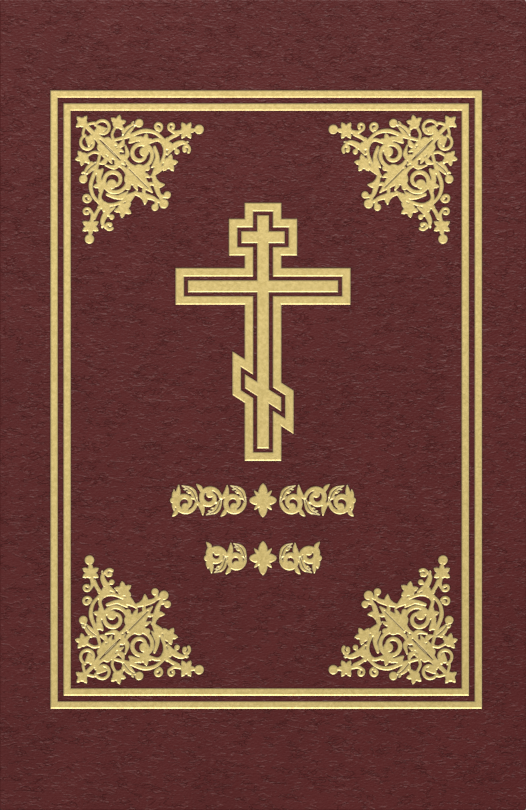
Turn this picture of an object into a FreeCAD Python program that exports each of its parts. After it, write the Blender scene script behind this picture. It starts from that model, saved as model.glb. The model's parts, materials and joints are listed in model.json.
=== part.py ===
import FreeCAD, Part
import math
import os
import Sketcher

# Hand-sized prayer book: a square-backed leather case with French grooves around a sewn page block.
# It lies closed on its back cover. +Z is up, +Y is the head (top) of the page, and the spine is at -X.
# The origin is the middle of the footprint, on the surface the book lies on. Sizes are in millimetres.

DRIVING_SIZES = [
    ("board_width", 119.5, "cover face, from the groove to the fore edge"),
    ("cover_length", 184.0, "cover face, from head to tail"),
    ("joint_width", 7.5, "French groove, from the shoulder to the board"),
    ("groove_depth", 2.0, "how far the joint leather dips below the cover face"),
    ("spine_depth", 2.5, "from the shoulder to the outer face of the spine"),
    ("leather_thick", 0.7, "covering leather"),
    ("board_thick", 2.1, "binder's board"),
    ("turn_in_thick", 0.2, "pared leather turned in over the board"),
    ("turn_in_width", 12.0, "how far the leather is turned in"),
    ("cover_corner", 0.8, "radius of the cover's fore-edge corners"),
    ("cover_edge", 0.6, "rounding of the cover's outer edges"),
    ("paper_thick", 0.15, "endpaper, and the room for one loose leaf"),
    ("leaf_thick", 0.13, "loose leaf"),
    ("tip_width", 4.0, "flyleaf glued to the section beside it"),
    ("page_width", 123.8, "from the fold to the fore edge of the page"),
    ("page_length", 177.6, "from head to tail of the page"),
    ("section_thick", 0.84, "one folded section of sixteen pages"),
    ("fold_gap", 0.1, "from the spine plane to the fold of a loose leaf"),
    ("pastedown_inset", 4.0, "from the cover's edge to the pastedown's edge"),
    ("flange_width", 23.0, "mull glued to each board"),
    ("mull_length", 158.0, "mull cloth along the spine"),
    ("mull_thick", 0.15, "mull cloth"),
    ("lining_length", 174.0, "paper lining along the spine"),
    ("lining_thick", 0.2, "paper lining of the spine"),
    ("thread_thick", 0.25, "sewing thread, flattened on the fold"),
    ("thread_width", 0.8, "sewing thread, flattened on the fold"),
    ("inlay_thick", 1.0, "card inside the spine leather"),
    ("band_radius", 0.7, "rolled edge of a headband"),
    ("band_tongue", 8.8, "headband tape glued to the spine"),
    ("band_gap", 0.05, "from the page's end to the roll of a headband"),
    ("foil_thick", 0.05, "gold foil"),
    ("foil_recess", 0.15, "depth of the tooled impression"),
    ("rule_width", 1.6, "gold rules"),
    ("rule_gap", 1.35, "bare leather between the two rules"),
    ("rule_inset_spine", 11.6, "from the board's spine edge to the outer rule"),
    ("rule_inset_fore", 10.15, "from the cover's fore edge to the outer rule"),
    ("rule_inset_head", 20.7, "from the cover's head edge to the outer rule"),
    ("rule_inset_tail", 23.2, "from the cover's tail edge to the outer rule"),
    ("cross_core", 2.64, "width of the cross's inner bars"),
    ("cross_gap", 0.93, "bare leather around the inner bars"),
    ("cross_band", 1.88, "width of the cross's outline"),
    ("cross_top", 43.0, "top of the inner shaft, from the middle of the cover"),
    ("cross_foot", 9.8, "bottom of the inner shaft, below the middle of the cover"),
    ("upper_bar_y", 38.06, "cross's upper bar, from the middle of the cover"),
    ("upper_bar_half", 4.9, "half the length of the cross's upper bar"),
    ("main_bar_y", 26.92, "cross's main bar, from the middle of the cover"),
    ("main_bar_half", 17.0, "half the length of the cross's main bar"),
    ("foot_bar_y", 2.8, "cross's slanted bar, from the middle of the cover"),
    ("foot_bar_half", 4.1, "half the width across the book of the cross's slanted bar"),
    ("corner_leg", 29.3, "legs of a corner ornament"),
    ("corner_gap", 0.5, "from the inner rule to a corner ornament"),
    ("upper_row_y", -21.6, "upper row of ornament, from the middle of the cover"),
    ("upper_row_half", 21.1, "half the length of the upper row of ornament"),
    ("lower_row_y", -34.7, "lower row of ornament, from the middle of the cover"),
    ("lower_row_half", 13.4, "half the length of the lower row of ornament"),
    ("row_flower_half", 4.2, "half the length of the lozenge in the middle of a row"),
    ("row_flower_width", 5.2, "width of the lozenge in the middle of a row"),
    ("row_arm_start", 5.4, "from the middle of a row to its arms"),
    ("row_arm_width", 2.6, "width of a row's arms"),
    ("row_ball", 1.0, "radius of the balls at the ends of a row"),
    ("spine_band", 0.9, "gold bands across the spine"),
]
SECTIONS_PER_HALF = 12
MIDDLE_LEAVES = 4
SEWING_STATIONS = (-66.0, -26.0, 26.0, 66.0)
SPINE_BANDS = (-78.0, -52.0, -48.5, 48.5, 52.0, 78.0)
CROSS_FOOT_SLOPE = -0.64
OVERCUT = 1.0
SAME_PLACE = 0.01

# A corner ornament, as shares of its leg. Rings have a place along and beside the leg, a radius and a line.
CORNER_RINGS = ((0.50, 0.29, 0.133, 0.044), (0.22, 0.09, 0.058, 0.024), (0.74, 0.13, 0.089, 0.034))
CORNER_BALLS = ((0.95, 0.11, 0.041),)
CORNER_STEM = ((0.041, 0.014), (0.62, 0.60), (0.60, 0.62), (0.014, 0.041))
CORNER_HEART = (0.62, 0.051)

SHEET = "Sizes."
COVER = f"({SHEET}leather_thick + {SHEET}board_thick + {SHEET}turn_in_thick)"
HALF = f"({SECTIONS_PER_HALF} * {SHEET}section_thick)"
BLOCK = f"(2 * {HALF} + {MIDDLE_LEAVES} * {SHEET}paper_thick)"
HEIGHT = f"(2 * {COVER} + {BLOCK} + 4 * {SHEET}paper_thick)"
SHOULDER_X = f"(({SHEET}spine_depth - {SHEET}joint_width - {SHEET}board_width) / 2)"
HINGE_Z = f"{SHEET}spine_depth"
GROOVE_X = f"({SHOULDER_X} + {SHEET}joint_width)"
BLOCK_Z = f"({COVER} + 2 * {SHEET}paper_thick)"
ALONG_Y = FreeCAD.Rotation(FreeCAD.Vector(1, 0, 0), -90)

doc = FreeCAD.newDocument("PrayerBook")
sheet = doc.addObject("Spreadsheet::Sheet", "Sizes")
for row, (alias, value, meaning) in enumerate(DRIVING_SIZES, start=1):
    sheet.set(f"A{row}", alias)
    sheet.set(f"B{row}", str(value))
    sheet.set(f"C{row}", meaning)
    sheet.setAlias(f"B{row}", alias)
doc.recompute()

pieces = []


def size(alias):
    """A driving size as a plain number."""
    return float(sheet.get(alias))


def worked_out(expression):
    """The value of an expression over the driving sizes."""
    return float(sheet.evalExpression(expression))


def keep(piece, label):
    """Label a finished sub-part and list it for writing."""
    piece.Label = label
    pieces.append(piece)
    return piece


def bind(piece, **expressions):
    """Bind sizes, and the place x, y, z, to expressions."""
    for name, expression in expressions.items():
        target = f".Placement.Base.{name}" if name in ("x", "y", "z") else name
        piece.setExpression(target, expression)


def box(name, x, y, z, length, width, height):
    """A box whose lowest corner is at x, y, z."""
    piece = doc.addObject("Part::Box", name)
    bind(piece, Length=length, Width=width, Height=height, x=x, y=y, z=z)
    return piece


def centred_box(name, x, z, length, width, height):
    """A box that reaches as far to the head as to the tail."""
    return box(name, x, f"-({width}) / 2", z, length, width, height)


def rod(name, x, z, radius, length):
    """A cylinder along Y that reaches as far to the head as to the tail."""
    piece = doc.addObject("Part::Cylinder", name)
    piece.Placement = FreeCAD.Placement(FreeCAD.Vector(), ALONG_Y)
    bind(piece, Radius=radius, Height=length, x=x, y=f"-({length}) / 2", z=z)
    return piece


def cut(name, base, tools):
    """The base with every tool taken away in turn."""
    for number, tool in enumerate(tools, start=1):
        step = doc.addObject("Part::Cut", f"{name}_cut_{number}")
        step.Base = base
        step.Tool = tool
        base = step
    return base


def fuse(name, shapes):
    """One solid from several that touch or overlap."""
    joined = doc.addObject("Part::MultiFuse", f"{name}_fused")
    joined.Shapes = shapes
    joined.Refine = True
    return joined


def shaped(name, shape):
    """A document object around a shape that Part's own functions made."""
    piece = doc.addObject("Part::Feature", name)
    piece.Shape = shape
    return piece


def other_side(z, thickness):
    """Where a layer of the back half at z lies when it is mirrored into the front half."""
    return f"({HEIGHT} - {z} - {thickness})"


def sided(side, z, thickness):
    """The height of a layer in the back or the front half."""
    return z if side == "back" else other_side(z, thickness)


# ---- covers ------------------------------------------------------------------------------------

def board(side):
    """Binder's board: a rectangle sketched on the body's XY plane and padded."""
    label = f"{side}_board"
    body = doc.addObject("PartDesign::Body", label)
    sketch = body.newObject("Sketcher::SketchObject", f"{label}_outline")
    plane = next(f for f in body.Origin.OriginFeatures if f.Role == "XY_Plane")
    sketch.AttachmentSupport = [(plane, "")]
    sketch.MapMode = "FlatFace"
    length, half = size("board_width"), size("cover_length") / 2
    corners = [FreeCAD.Vector(*c) for c in ((0, -half), (length, -half), (length, half), (0, half))]
    for start, end in zip(corners, corners[1:] + corners[:1]):
        sketch.addGeometry(Part.LineSegment(start, end), False)
    for line in range(4):
        sketch.addConstraint(Sketcher.Constraint("Coincident", line, 2, (line + 1) % 4, 1))
    for line, direction in ((0, "Horizontal"), (1, "Vertical"), (2, "Horizontal")):
        sketch.addConstraint(Sketcher.Constraint(direction, line))
    sketch.addConstraint(Sketcher.Constraint("Symmetric", 3, 1, 3, 2, -1))
    sketch.addConstraint(Sketcher.Constraint("PointOnObject", 3, 1, -2))
    across = sketch.addConstraint(Sketcher.Constraint("DistanceX", 0, 1, 0, 2, length))
    along = sketch.addConstraint(Sketcher.Constraint("DistanceY", 1, 1, 1, 2, 2 * half))
    sketch.setExpression(f"Constraints[{across}]", f"{SHEET}board_width - {SHEET}leather_thick")
    sketch.setExpression(f"Constraints[{along}]", f"{SHEET}cover_length - 2 * {SHEET}leather_thick")
    pad = body.newObject("PartDesign::Pad", f"{label}_pad")
    pad.Profile = sketch
    pad.setExpression("Length", f"{SHEET}board_thick")
    thickness = f"{SHEET}board_thick"
    bind(body, x=GROOVE_X, z=sided(side, f"{SHEET}leather_thick", thickness))
    keep(body, label)


def rounded_outer(label, blank, face_z):
    """The cover's blank with its fore-edge corners and the rim of its outer face rounded."""
    doc.recompute()
    edges = []
    fore_x = blank.Shape.BoundBox.XMax
    spine_x = blank.Shape.BoundBox.XMin
    for number, edge in enumerate(blank.Shape.Edges, start=1):
        middle = edge.CenterOfMass
        upright = edge.BoundBox.ZLength > size("board_thick")
        if upright and abs(middle.x - fore_x) < SAME_PLACE:
            edges.append((number, size("cover_corner"), size("cover_corner")))
        if not upright and abs(middle.z - face_z) < SAME_PLACE and middle.x > spine_x + SAME_PLACE:
            edges.append((number, size("cover_edge"), size("cover_edge")))
    rounded = doc.addObject("Part::Fillet", f"{label}_rounded")
    rounded.Base = blank
    rounded.Edges = edges
    return rounded


def cover_leather(side, tooling):
    """Leather over a board: the outer face, three wrapped edges and the turn-ins."""
    label = f"{side}_cover_leather"
    z = sided(side, "0", COVER)
    blank = centred_box(f"{label}_blank", GROOVE_X, z, f"{SHEET}board_width", f"{SHEET}cover_length", COVER)
    face_z = 0.0 if side == "back" else worked_out(HEIGHT)
    rounded = rounded_outer(label, blank, face_z)
    room = centred_box(
        f"{label}_board_room",
        f"{GROOVE_X} - {OVERCUT}",
        sided(side, f"{SHEET}leather_thick", f"{SHEET}board_thick"),
        f"{SHEET}board_width - {SHEET}leather_thick + {OVERCUT}",
        f"{SHEET}cover_length - 2 * {SHEET}leather_thick",
        f"{SHEET}board_thick",
    )
    window = centred_box(
        f"{label}_window",
        f"{GROOVE_X} - {OVERCUT}",
        sided(side, f"({COVER} - {SHEET}turn_in_thick)", f"{SHEET}turn_in_thick"),
        f"{SHEET}board_width - {SHEET}turn_in_width + {OVERCUT}",
        f"{SHEET}cover_length - 2 * {SHEET}turn_in_width",
        f"{SHEET}turn_in_thick",
    )
    keep(cut(label, rounded, [room, window] + tooling), label)


def leaf(name, fold_x, z, thickness):
    """A sheet of paper with a rounded fold that it turns on."""
    width = f"({SHOULDER_X} + {SHEET}page_width - ({fold_x}))"
    flat = centred_box(f"{name}_flat", fold_x, z, width, f"{SHEET}page_length", thickness)
    fold = rod(f"{name}_fold", fold_x, f"{z} + {thickness} / 2", f"({thickness} / 2)", f"{SHEET}page_length")
    return fuse(name, [flat, fold])


def inner_layers(side):
    """What lies on a board's inner face: infill, mull flange, pastedown and the tipped-on flyleaf."""
    turn_in_z = f"({COVER} - {SHEET}turn_in_thick)"
    turn_in = f"{SHEET}turn_in_thick"
    paper = f"{SHEET}paper_thick"
    infill = centred_box(
        f"{side}_infill",
        f"{GROOVE_X} + {SHEET}flange_width",
        sided(side, turn_in_z, turn_in),
        f"{SHEET}board_width - {SHEET}turn_in_width - {SHEET}flange_width",
        f"{SHEET}cover_length - 2 * {SHEET}turn_in_width",
        turn_in,
    )
    flange = centred_box(
        f"{side}_flange",
        GROOVE_X,
        sided(side, turn_in_z, turn_in),
        f"{SHEET}flange_width",
        f"{SHEET}mull_length",
        turn_in,
    )
    pastedown = centred_box(
        f"{side}_paste",
        GROOVE_X,
        sided(side, COVER, paper),
        f"{SHEET}board_width - {SHEET}pastedown_inset",
        f"{SHEET}cover_length - 2 * {SHEET}pastedown_inset",
        paper,
    )
    flyleaf_z = sided(side, f"({COVER} + {paper})", paper)
    tip = centred_box(
        f"{side}_tip",
        SHOULDER_X,
        flyleaf_z,
        f"{SHEET}tip_width - {SHEET}fold_gap",
        f"{SHEET}page_length",
        paper,
    )
    keep(infill, f"{side}_board_infill")
    keep(flange, f"{side}_mull_flange")
    keep(pastedown, f"{side}_pastedown")
    keep(tip, f"{side}_flyleaf_tip")
    keep(leaf(f"{side}_fly", f"{SHOULDER_X} + {SHEET}tip_width", flyleaf_z, paper), f"{side}_flyleaf")


def joint_leather(side):
    """The flexible strip of leather that dips into the French groove."""
    shoulder = worked_out(SHOULDER_X)
    width = size("joint_width")
    height = worked_out(HEIGHT)
    length = size("cover_length")

    def point(across, depth):
        z = depth if side == "back" else height - depth
        return FreeCAD.Vector(shoulder + across * width, -length / 2, z)

    dip = size("groove_depth")
    thick = size("leather_thick")
    outer = Part.Arc(point(0, 0), point(0.5, dip), point(1, 0)).toShape()
    inner = Part.Arc(point(1, thick), point(0.5, dip + thick), point(0, thick)).toShape()
    ends = [Part.makeLine(point(1, 0), point(1, thick)), Part.makeLine(point(0, thick), point(0, 0))]
    outline = Part.Wire(Part.__sortEdges__([outer, ends[0], inner, ends[1]]))
    strip = Part.Face(outline).extrude(FreeCAD.Vector(0, length, 0))
    keep(shaped(f"{side}_joint", strip), f"{side}_joint_leather")


# ---- spine -------------------------------------------------------------------------------------

def spine_profile(name, radius, length):
    """A bar along the spine whose two rounded edges are centred on the shoulders."""
    low = rod(f"{name}_low", SHOULDER_X, HINGE_Z, radius, length)
    high = rod(f"{name}_high", SHOULDER_X, other_side(HINGE_Z, "0"), radius, length)
    middle = centred_box(
        f"{name}_middle", f"{SHOULDER_X} - {radius}", HINGE_Z, f"2 * {radius}", length,
        f"({HEIGHT} - 2 * {HINGE_Z})",
    )
    return fuse(name, [low, middle, high])


def spine_leather(tooling):
    """Spine leather with rounded edges, closed over the inlay at the head and the tail."""
    length = f"{SHEET}cover_length"
    leather = f"{SHEET}leather_thick"
    outside = spine_profile("spine_outside", f"{SHEET}spine_depth", length)
    lined = spine_profile("spine_inside", f"({SHEET}spine_depth - {leather})", f"({length} - 2 * {leather})")
    hollow_radius = f"({SHEET}spine_depth - {leather} - {SHEET}inlay_thick)"
    hollow = spine_profile("spine_hollow", hollow_radius, f"({length} + 2 * {OVERCUT})")
    block_side = centred_box(
        "spine_block_side", SHOULDER_X, f"-{OVERCUT}", f"{SHEET}spine_depth + {OVERCUT}",
        f"({length} + 2 * {OVERCUT})", f"{HEIGHT} + 2 * {OVERCUT}",
    )
    keep(cut("spine_leather", outside, [lined, hollow, block_side] + tooling), "spine_leather")


def spine_layers():
    """Inlay card, paper lining and mull, from the outside in."""
    span = f"({HEIGHT} - 2 * {HINGE_Z})"
    inlay_x = f"{SHOULDER_X} - {SHEET}spine_depth + {SHEET}leather_thick"
    inlay_length = f"{SHEET}cover_length - 2 * {SHEET}leather_thick"
    keep(centred_box("inlay", inlay_x, HINGE_Z, f"{SHEET}inlay_thick", inlay_length, span), "spine_inlay")
    mull_x = f"{SHOULDER_X} - {SHEET}thread_thick - {SHEET}mull_thick"
    mull = centred_box("mull", mull_x, BLOCK_Z, f"{SHEET}mull_thick", f"{SHEET}mull_length", BLOCK)
    keep(mull, "spine_mull")
    lining_x = f"{mull_x} - {SHEET}lining_thick"
    lining = centred_box("lining", lining_x, BLOCK_Z, f"{SHEET}lining_thick", f"{SHEET}lining_length", BLOCK)
    keep(lining, "spine_lining")


def headband(end):
    """A rolled band over the ends of the folds, with its tape glued to the spine."""
    label = f"{end}_band"
    radius = f"{SHEET}band_radius"
    edge = f"({SHEET}page_length / 2)"
    height = f"{BLOCK} - 2 * {SHEET}thread_thick"
    low_z = f"{BLOCK_Z} + {SHEET}thread_thick"
    tape_thick = f"({SHEET}thread_thick + {SHEET}mull_thick)"
    roll_y = f"({edge} + {radius} + {SHEET}band_gap)"
    tape_y = f"({edge} - {SHEET}band_tongue)" if end == "head" else f"(-{roll_y})"
    tape = box(
        f"{label}_tape", f"{SHOULDER_X} - {tape_thick}", tape_y, low_z, tape_thick,
        f"({SHEET}band_tongue + {roll_y} - {edge})", height,
    )
    roll = doc.addObject("Part::Cylinder", f"{label}_roll")
    bind(
        roll, Radius=radius, Height=height, x=f"{SHOULDER_X} - {tape_thick} + {radius}",
        y=roll_y if end == "head" else f"-{roll_y}", z=low_z,
    )
    keep(fuse(label, [tape, roll]), label)


# ---- page block --------------------------------------------------------------------------------

def sections(side):
    """The folded sections of one half, counted from the cover, and their sewing thread."""
    for number in range(SECTIONS_PER_HALF):
        layer = f"({BLOCK_Z} + {number} * {SHEET}section_thick)"
        section = centred_box(
            f"{side}_sewn_{number + 1}", SHOULDER_X, sided(side, layer, f"{SHEET}section_thick"),
            f"{SHEET}page_width", f"{SHEET}page_length", f"{SHEET}section_thick",
        )
        keep(section, f"{side}_section_{number + 1:02d}")
    stitches = [
        box(
            f"{side}_stitch_{number}", f"{SHOULDER_X} - {SHEET}thread_thick",
            f"{station} - {SHEET}thread_width / 2", sided(side, BLOCK_Z, HALF),
            f"{SHEET}thread_thick", f"{SHEET}thread_width", HALF,
        )
        for number, station in enumerate(SEWING_STATIONS, start=1)
    ]
    thread = doc.addObject("Part::Compound", f"{side}_stitches")
    thread.Links = stitches
    keep(thread, f"{side}_sewing_thread")


def middle_leaves():
    """Loose leaves at the middle of the block."""
    for number in range(MIDDLE_LEAVES):
        z = f"({BLOCK_Z} + {HALF} + {number} * {SHEET}paper_thick)"
        turning = leaf(f"leaf_{number + 1}", f"{SHOULDER_X} + {SHEET}fold_gap", z, f"{SHEET}leaf_thick")
        keep(turning, f"turning_leaf_{number + 1}")


# ---- gold tooling ------------------------------------------------------------------------------

def rule(name, inset, z, height):
    """A rectangular gold line around the cover, inset from the outer rule's place."""
    x = f"({GROOVE_X} + {SHEET}rule_inset_spine + {inset})"
    y = f"(-{SHEET}cover_length / 2 + {SHEET}rule_inset_tail + {inset})"
    length = f"({SHEET}board_width - {SHEET}rule_inset_spine - {SHEET}rule_inset_fore - 2 * {inset})"
    width = f"({SHEET}cover_length - {SHEET}rule_inset_tail - {SHEET}rule_inset_head - 2 * {inset})"
    line = f"{SHEET}rule_width"
    outside = box(f"{name}_outside", x, y, z, length, width, height)
    inside = box(
        f"{name}_inside", f"{x} + {line}", f"{y} + {line}", f"{z} - {OVERCUT}",
        f"{length} - 2 * {line}", f"{width} - 2 * {line}", f"{height} + 2 * {OVERCUT}",
    )
    return cut(name, outside, [inside])


def plate(points):
    """A flat face from corner points on the cover's plane."""
    corners = [FreeCAD.Vector(x, y, 0) for x, y in points]
    return Part.Face(Part.makePolygon(corners + corners[:1]))


def bar(x, y, half_length, half_width):
    """A rectangle around x, y."""
    return plate([
        (x - half_length, y - half_width), (x + half_length, y - half_width),
        (x + half_length, y + half_width), (x - half_length, y + half_width),
    ])


def joined(faces):
    """One flat shape from overlapping faces."""
    return faces[0].multiFuse(faces[1:]).removeSplitter()


def cover_middle():
    """The middle of the front cover's face, across the book."""
    return worked_out(f"{GROOVE_X} + {SHEET}board_width / 2")


def cross_face(grown):
    """The three-bar cross with a slanted foot, with every edge moved out by grown."""
    middle = cover_middle()
    half = size("cross_core") / 2 + grown
    top = size("cross_top")
    foot = size("cross_foot")
    shaft = bar(middle, (top - foot) / 2, half, (top + foot) / 2 + grown)
    upper_bar = bar(middle, size("upper_bar_y"), size("upper_bar_half") + grown, half)
    main_bar = bar(middle, size("main_bar_y"), size("main_bar_half") + grown, half)
    reach = size("foot_bar_half") + grown
    upright_half = half * math.hypot(1, CROSS_FOOT_SLOPE)
    foot_bar = plate([
        (middle + side * reach, size("foot_bar_y") + CROSS_FOOT_SLOPE * side * reach + level * upright_half)
        for side, level in ((-1, -1), (1, -1), (1, 1), (-1, 1))
    ])
    return joined([shaft, upper_bar, main_bar, foot_bar])


def cross_outline_face():
    """The band around the cross."""
    inside = size("cross_gap")
    return cross_face(inside + size("cross_band")).cut(cross_face(inside))


def disc(x, y, radius):
    """A round face."""
    return Part.Face(Part.Wire(Part.makeCircle(radius, FreeCAD.Vector(x, y, 0))))


def ring(x, y, radius, width):
    """A round line of the given width."""
    return disc(x, y, radius).cut(disc(x, y, radius - width))


def lozenge(x, y, half_length, half_width):
    """A diamond with its long axis across the book."""
    return plate([
        (x - half_length, y), (x, y - half_width), (x + half_length, y), (x, y + half_width),
    ])


def corner_face():
    """One corner ornament, drawn from its corner along both legs: a stem, rings and balls."""
    leg = size("corner_leg")
    heart, heart_radius = CORNER_HEART
    parts = [plate([(x * leg, y * leg) for x, y in CORNER_STEM])]
    parts.append(disc(heart * leg, heart * leg, heart_radius * leg))
    for far, near, radius, line in CORNER_RINGS:
        parts.append(ring(far * leg, near * leg, radius * leg, line * leg))
        parts.append(ring(near * leg, far * leg, radius * leg, line * leg))
    for far, near, radius in CORNER_BALLS:
        parts.append(disc(far * leg, near * leg, radius * leg))
        parts.append(disc(near * leg, far * leg, radius * leg))
    return joined(parts)


def corner_faces():
    """The four corner ornaments, mirrored into the corners of the inner rule."""
    rules = 2 * size("rule_width") + size("rule_gap") + size("corner_gap")
    groove = worked_out(GROOVE_X)
    x_spine = groove + size("rule_inset_spine") + rules
    x_fore = groove + size("board_width") - size("rule_inset_fore") - rules
    y_tail = -size("cover_length") / 2 + size("rule_inset_tail") + rules
    y_head = size("cover_length") / 2 - size("rule_inset_head") - rules
    faces = []
    for x, across in ((x_spine, 1), (x_fore, -1)):
        for y, along in ((y_tail, 1), (y_head, -1)):
            turned = FreeCAD.Matrix()
            turned.A11 = across
            turned.A22 = along
            turned.A14 = x
            turned.A24 = y
            faces.append(corner_face().transformGeometry(turned))
    return Part.makeCompound(faces)


def ornament_row_face(row):
    """A row of ornament: a lozenge between two tapered arms that end in balls."""
    middle = cover_middle()
    y = size(f"{row}_row_y")
    half_length = size(f"{row}_row_half")
    arm_start = size("row_arm_start")
    arm_middle = (arm_start + half_length) / 2
    arm_half = (half_length - arm_start) / 2
    ball = size("row_ball")
    parts = [lozenge(middle, y, size("row_flower_half"), size("row_flower_width") / 2)]
    for side in (-1, 1):
        arm = lozenge(middle + side * arm_middle, y, arm_half, size("row_arm_width") / 2)
        parts.append(joined([arm, disc(middle + side * (half_length - ball), y, ball)]))
    return Part.makeCompound(parts)


def raised(face, low_z, height):
    """A flat face given a thickness at a height."""
    solid = face.extrude(FreeCAD.Vector(0, 0, height))
    solid.translate(FreeCAD.Vector(0, 0, low_z))
    return solid


def tooled(label, face, tooling):
    """A foil of the face's shape at the bottom of an impression that is added to the tooling."""
    top = worked_out(HEIGHT)
    depth = size("foil_recess")
    tooling.append(shaped(f"{label}_impression", raised(face, top - depth, depth + OVERCUT)))
    keep(shaped(f"{label}_layer", raised(face, top - depth, size("foil_thick"))), label)


def tooled_rule(label, inset, tooling):
    """A gold rule at the bottom of its own impression."""
    floor = f"({HEIGHT} - {SHEET}foil_recess)"
    tooling.append(rule(f"{label}_impression", inset, floor, f"({SHEET}foil_recess + {OVERCUT})"))
    keep(rule(f"{label}_layer", inset, floor, f"{SHEET}foil_thick"), label)


def cover_tooling():
    """All gold on the front cover; returns the impressions to cut into its leather."""
    tooling = []
    tooled_rule("outer_rule_foil", "0", tooling)
    tooled_rule("inner_rule_foil", f"({SHEET}rule_width + {SHEET}rule_gap)", tooling)
    tooled("cross_outline_foil", cross_outline_face(), tooling)
    tooled("cross_bar_foil", cross_face(0), tooling)
    tooled("corner_ornament_foil", corner_faces(), tooling)
    tooled("upper_ornament_foil", ornament_row_face("upper"), tooling)
    tooled("lower_ornament_foil", ornament_row_face("lower"), tooling)
    return tooling


def spine_tooling():
    """Gold bands across the spine; returns the impressions to cut into its leather."""
    spine_x = f"({SHOULDER_X} - {SHEET}spine_depth)"
    span = f"({HEIGHT} - 2 * {HINGE_Z})"
    impressions = []
    foils = []
    for number, place in enumerate(SPINE_BANDS, start=1):
        low_y = f"{place} - {SHEET}spine_band / 2"
        impressions.append(box(
            f"spine_impression_{number}", f"{spine_x} - {OVERCUT}", low_y, HINGE_Z,
            f"{SHEET}foil_recess + {OVERCUT}", f"{SHEET}spine_band", span,
        ))
        foils.append(box(
            f"spine_band_{number}", f"{spine_x} + {SHEET}foil_recess - {SHEET}foil_thick", low_y, HINGE_Z,
            f"{SHEET}foil_thick", f"{SHEET}spine_band", span,
        ))
    bands = doc.addObject("Part::Compound", "spine_bands")
    bands.Links = foils
    keep(bands, "spine_band_foil")
    return impressions


def write_steps():
    """Check every object and sub-part, and write one STEP file for each sub-part."""
    doc.recompute()
    failed = [o.Name for o in doc.Objects if "Invalid" in o.State or "Error" in o.State]
    bad = [p.Label for p in pieces if p.Shape.isNull() or not p.Shape.isValid()]
    if failed or bad:
        raise RuntimeError(f"failed objects: {failed}; bad shapes: {bad}")
    os.makedirs("parts", exist_ok=True)
    for piece in pieces:
        piece.Shape.exportStep(f"parts/{piece.Label}.step")
        print(piece.Label, round(piece.Shape.Volume, 2), "mm3,", len(piece.Shape.Solids), "solids")
    print(len(pieces), "sub-parts")


cover_leather("front", cover_tooling())
cover_leather("back", [])
spine_leather(spine_tooling())
spine_layers()
for end in ("head", "tail"):
    headband(end)
for side in ("back", "front"):
    board(side)
    inner_layers(side)
    joint_leather(side)
    sections(side)
middle_leaves()
write_steps()
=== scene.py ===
import json
import math
import random
from functools import partial

import bmesh
import bpy
import numpy as np
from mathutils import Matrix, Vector
from mathutils.geometry import delaunay_2d_cdt


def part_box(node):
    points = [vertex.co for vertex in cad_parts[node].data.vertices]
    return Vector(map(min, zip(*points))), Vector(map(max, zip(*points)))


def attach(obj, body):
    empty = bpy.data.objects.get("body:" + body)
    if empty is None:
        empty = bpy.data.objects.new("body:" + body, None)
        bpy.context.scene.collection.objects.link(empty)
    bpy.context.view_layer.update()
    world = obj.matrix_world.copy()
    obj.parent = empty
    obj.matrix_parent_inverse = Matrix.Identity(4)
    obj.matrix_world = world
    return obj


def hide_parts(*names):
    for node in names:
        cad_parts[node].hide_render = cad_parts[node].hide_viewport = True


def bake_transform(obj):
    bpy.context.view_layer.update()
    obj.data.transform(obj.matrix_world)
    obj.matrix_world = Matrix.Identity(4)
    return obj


# A closed leather prayer book, seen from straight above. The frame gives every piece its place. The gold
# tooling is drawn in millimetres from the middle of the front cover; all else is in metres.

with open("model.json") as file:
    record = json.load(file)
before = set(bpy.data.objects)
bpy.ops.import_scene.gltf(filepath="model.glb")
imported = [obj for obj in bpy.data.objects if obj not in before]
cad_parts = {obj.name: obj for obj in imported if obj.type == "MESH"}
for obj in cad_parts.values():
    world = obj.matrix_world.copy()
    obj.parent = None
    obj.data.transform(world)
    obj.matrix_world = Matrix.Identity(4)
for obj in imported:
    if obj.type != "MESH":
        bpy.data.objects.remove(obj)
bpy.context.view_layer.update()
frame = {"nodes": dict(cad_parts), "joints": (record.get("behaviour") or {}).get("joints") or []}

MM = 0.001
TINY = 1e-9
JOINTS = {joint["name"]: joint for joint in frame["joints"]}
COVER_LOW, COVER_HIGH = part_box("front_cover_leather")
BACK_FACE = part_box("back_cover_leather")[0].z
SPINE_LOW, SPINE_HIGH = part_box("spine_leather")
COVER_MIDDLE = Vector(((COVER_LOW.x + COVER_HIGH.x) / 2, 0, COVER_HIGH.z))
BACK_HINGE = Vector(JOINTS["book_opening"]["pos_m"])
FRONT_HINGE = Vector(JOINTS["front_cover_hinge"]["pos_m"])
SPINE_DEPTH = BACK_HINGE.x - SPINE_LOW.x
SPINE_HALF = SPINE_HIGH.y
BAND_PLACES = [y * MM for y in (-78, -52, -48.5, 48.5, 52, 78)]
BAND_WIDTH = 0.9 * MM

# Leather, in metres.
LEATHER = 0.7 * MM
TURN_IN = 12 * MM
EDGE_ROLL = 0.4 * MM  # rounding of a cover's outer edge
IMPRESSION = 0.16 * MM  # depth of the pressed tooling
LIP_DROP = 0.04 * MM  # how far the leather sinks at the foil's edge

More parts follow.
